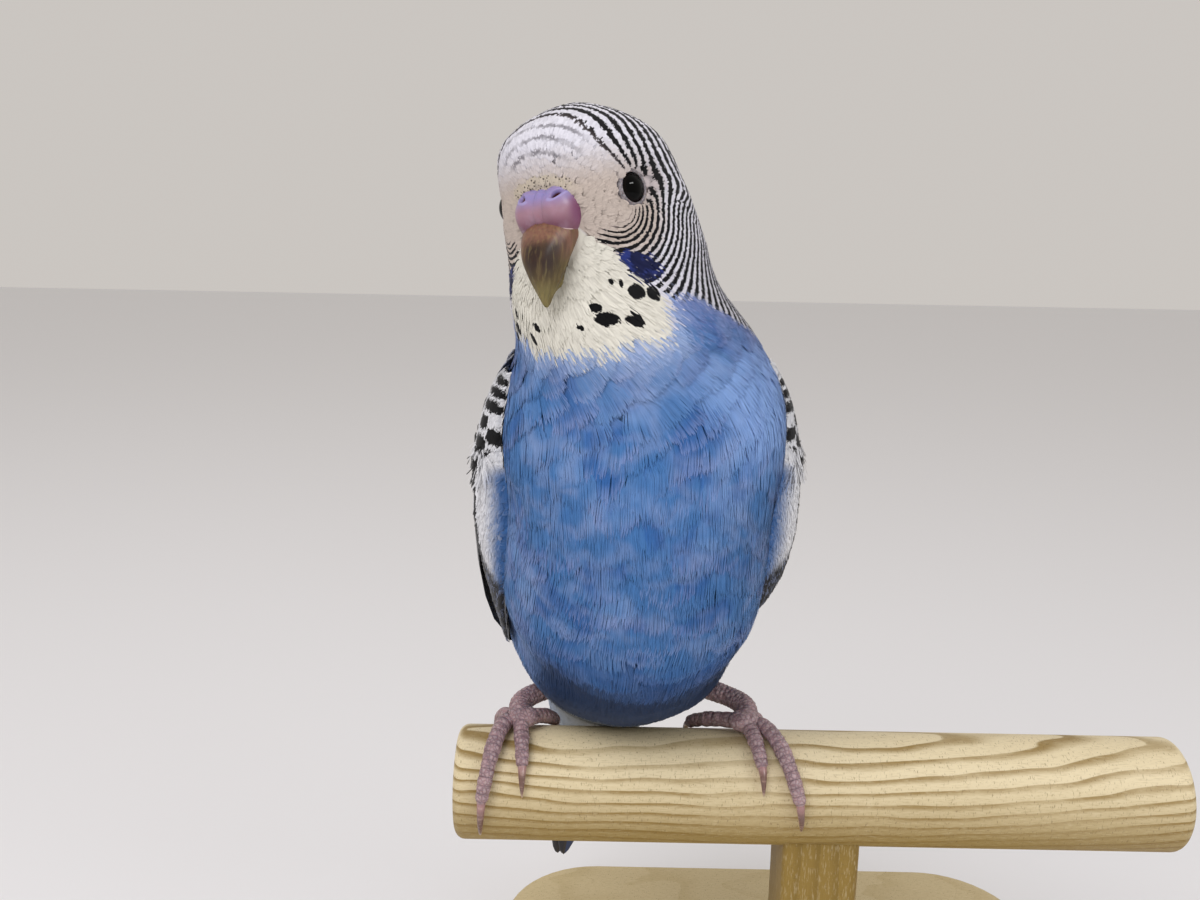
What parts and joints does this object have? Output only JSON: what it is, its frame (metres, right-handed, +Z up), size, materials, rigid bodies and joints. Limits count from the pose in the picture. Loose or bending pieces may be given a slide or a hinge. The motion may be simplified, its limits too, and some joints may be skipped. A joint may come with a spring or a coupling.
{
  "type": "perched budgerigar model",
  "caption": "Life-size budgerigar with a white face and blue body, perched on a wooden dowel over a small stand, its head turned and its long tail hanging behind.",
  "frame": {"origin": "centre of the stand base's underside", "axes": "+Z up; the perch runs along X; the bird faces -Y, its own right side towards -X"},
  "size_m": [0.1174, 0.11, 0.175],
  "materials": {
    "pine": "sanded, bare",
    "barred_feather": "soft, matte, finely barred",
    "pale_feather": "soft, matte",
    "blue_feather": "soft, faint sheen",
    "dark_feather": "flat vanes, satin",
    "cere_skin": "smooth, slightly moist",
    "horn": "fine lengthwise streaks, satin",
    "eye": "polished, wet",
    "lid_skin": "wrinkled, matte",
    "leg_skin": "scaly, satin",
    "claw": "translucent, satin"
  },
  "bodies": {
    "root": {"perch": "pine", "stand_rod": "pine", "stand_base": "pine", "head": "barred_feather", "cere": "cere_skin", "upper_mandible": "horn", "lower_mandible": "horn", "eye_left": "eye", "eye_right": "eye", "eyelid_left": "lid_skin", "eyelid_right": "lid_skin", "neck": "pale_feather", "torso": "blue_feather", "thigh_left": "blue_feather", "thigh_right": "blue_feather", "tail": "dark_feather", "wing_left": "dark_feather", "wing_right": "dark_feather", "tarsus_left": "leg_skin", "tarsus_right": "leg_skin", "outer_front_toe_left": "leg_skin", "outer_front_claw_left": "claw", "inner_front_toe_left": "leg_skin", "inner_front_claw_left": "claw", "outer_back_toe_left": "leg_skin", "outer_back_claw_left": "claw", "inner_back_toe_left": "leg_skin", "inner_back_claw_left": "claw", "outer_front_toe_right": "leg_skin", "outer_front_claw_right": "claw", "inner_front_toe_right": "leg_skin", "inner_front_claw_right": "claw", "outer_back_toe_right": "leg_skin", "outer_back_claw_right": "claw", "inner_back_toe_right": "leg_skin", "inner_back_claw_right": "claw"}
  },
  "joints": []
}
